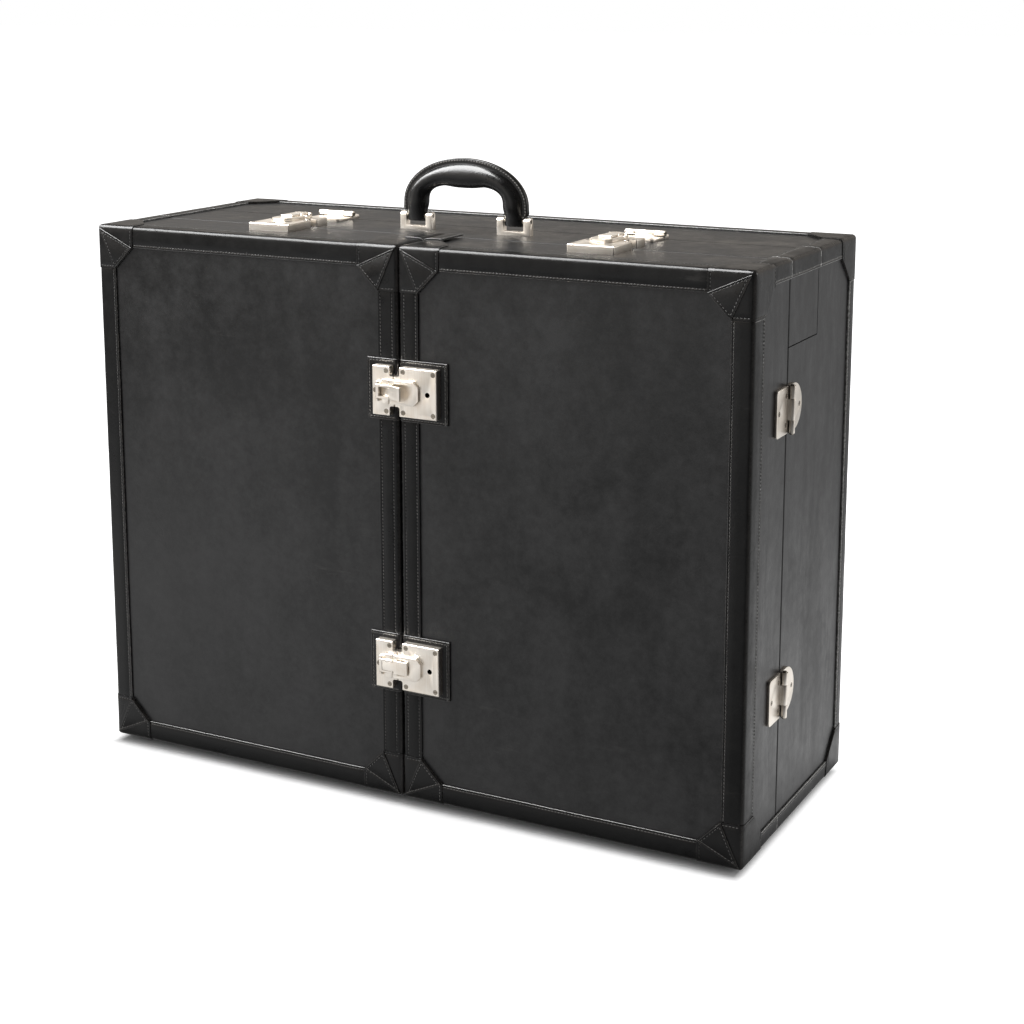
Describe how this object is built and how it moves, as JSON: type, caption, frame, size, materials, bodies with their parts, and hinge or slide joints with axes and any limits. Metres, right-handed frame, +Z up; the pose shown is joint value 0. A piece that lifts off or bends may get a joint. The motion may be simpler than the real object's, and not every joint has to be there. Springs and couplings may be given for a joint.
{
  "type": "vanity case",
  "caption": "Upright leather vanity case with a pair of hollow front doors, box lid with fold-down carrying handle, rocker-lever hasp locks and capped corners.",
  "frame": {"origin": "middle of the part's box at the ground, under the feet", "axes": "+X to the right along the width as seen from the front, +Y from the doors to the back, +Z up"},
  "size_m": [0.7388, 0.3062, 0.639],
  "materials": {
    "leather_board": "satin black box calf over wooden board",
    "leather_binding": "satin black box calf, stitched",
    "leather_grip": "polished black leather",
    "lining": "brushed suede cloth",
    "nickel": "brushed nickel plate",
    "steel": "plain nickel plated steel",
    "brass": "satin brass"
  },
  "bodies": {
    "body": {"body_back": "leather_board", "body_bottom": "leather_board", "body_side_left": "leather_board", "body_side_right": "leather_board", "body_top_rear": "leather_board", "body_lining": "lining", "body_binding": "leather_binding", "body_corner_caps": "leather_binding", "body_rim": "brass", "body_feet": "brass", "body_hinge_leaves": "nickel", "side_hinge_pins": "steel", "body_screws": "steel", "lid_top": "leather_board", "lid_cheeks": "leather_board", "lid_lining": "lining", "lid_binding": "leather_binding", "lid_hinge_leaves": "nickel", "top_hinge_leaves": "nickel", "top_hinge_pins": "steel", "lid_tee_plates": "nickel", "lid_hasp_pins": "steel", "lid_screws": "steel", "handle_brackets": "nickel", "handle_pins": "steel"},
    "handle": {"handle_grip": "leather_grip", "handle_bushings": "steel"},
    "door_left": {"door_left_front": "leather_board", "door_left_frame": "leather_board", "door_left_lining": "lining", "door_left_binding": "leather_binding", "door_left_corner_caps": "leather_binding", "door_left_cap_overlays": "leather_binding", "door_left_lock_patches": "leather_binding", "door_left_tee_plates": "nickel", "door_left_top_plate": "nickel", "door_left_hinge_leaves": "nickel", "door_left_hasp_pins": "steel", "door_left_screws": "steel"},
    "door_right": {"door_right_front": "leather_board", "door_right_frame": "leather_board", "door_right_lining": "lining", "door_right_binding": "leather_binding", "door_right_corner_caps": "leather_binding", "door_right_cap_overlays": "leather_binding", "door_right_lock_patches": "leather_binding", "door_right_key_plates": "nickel", "door_right_top_plate": "nickel", "door_right_hinge_leaves": "nickel", "door_right_screws": "steel"},
    "hasp_upper": {"hasp_upper": "nickel"},
    "hasp_lower": {"hasp_lower": "nickel"},
    "hasp_top_left": {"hasp_top_left": "nickel"},
    "hasp_top_right": {"hasp_top_right": "nickel"},
    "lever_upper": {"lever_upper": "nickel"},
    "lever_lower": {"lever_lower": "nickel"},
    "lever_top_left": {"lever_top_left": "nickel"},
    "lever_top_right": {"lever_top_right": "nickel"}
  },
  "joints": [
    {"name": "door_left_swing", "type": "hinge", "parent": "body", "child": "door_left", "pos_m": [-0.3664, -0.03892, 0.286], "axis": [0, 0, -1], "range_deg": [0, 175]},
    {"name": "door_right_swing", "type": "hinge", "parent": "body", "child": "door_right", "pos_m": [0.3664, -0.03892, 0.286], "axis": [0, 0, 1], "range_deg": [0, 175]},
    {"name": "handle_fold", "type": "hinge", "parent": "body", "child": "handle", "pos_m": [0, 0.00208, 0.578], "axis": [1, 0, 0], "range_deg": [-80, 80]},
    {"name": "hasp_upper_turn", "type": "hinge", "parent": "door_left", "child": "hasp_upper", "pos_m": [-0.0168, -0.14472, 0.425], "axis": [0, 0, -1], "range_deg": [0, 110]},
    {"name": "hasp_lower_turn", "type": "hinge", "parent": "door_left", "child": "hasp_lower", "pos_m": [-0.0168, -0.14472, 0.147], "axis": [0, 0, -1], "range_deg": [0, 110]},
    {"name": "hasp_top_left_turn", "type": "hinge", "parent": "body", "child": "hasp_top_left", "pos_m": [-0.181, -0.02212, 0.5748], "axis": [-1, 0, 0], "range_deg": [0, 110]},
    {"name": "hasp_top_right_turn", "type": "hinge", "parent": "body", "child": "hasp_top_right", "pos_m": [0.181, -0.02212, 0.5748], "axis": [-1, 0, 0], "range_deg": [0, 110]},
    {"name": "lever_upper_rock", "type": "hinge", "parent": "hasp_upper", "child": "lever_upper", "pos_m": [-0.004, -0.14522, 0.425], "axis": [0, 0, -1], "range_deg": [-20, 4]},
    {"name": "lever_lower_rock", "type": "hinge", "parent": "hasp_lower", "child": "lever_lower", "pos_m": [-0.004, -0.14522, 0.147], "axis": [0, 0, -1], "range_deg": [0, 24]},
    {"name": "lever_top_left_rock", "type": "hinge", "parent": "hasp_top_left", "child": "lever_top_left", "pos_m": [-0.181, -0.03492, 0.5753], "axis": [-1, 0, 0], "range_deg": [0, 24]},
    {"name": "lever_top_right_rock", "type": "hinge", "parent": "hasp_top_right", "child": "lever_top_right", "pos_m": [0.181, -0.03492, 0.5753], "axis": [-1, 0, 0], "range_deg": [0, 24]}
  ],
  "couplings": [
    {"joint": "door_right_swing", "follows": "door_left_swing", "ratio": 1}
  ]
}
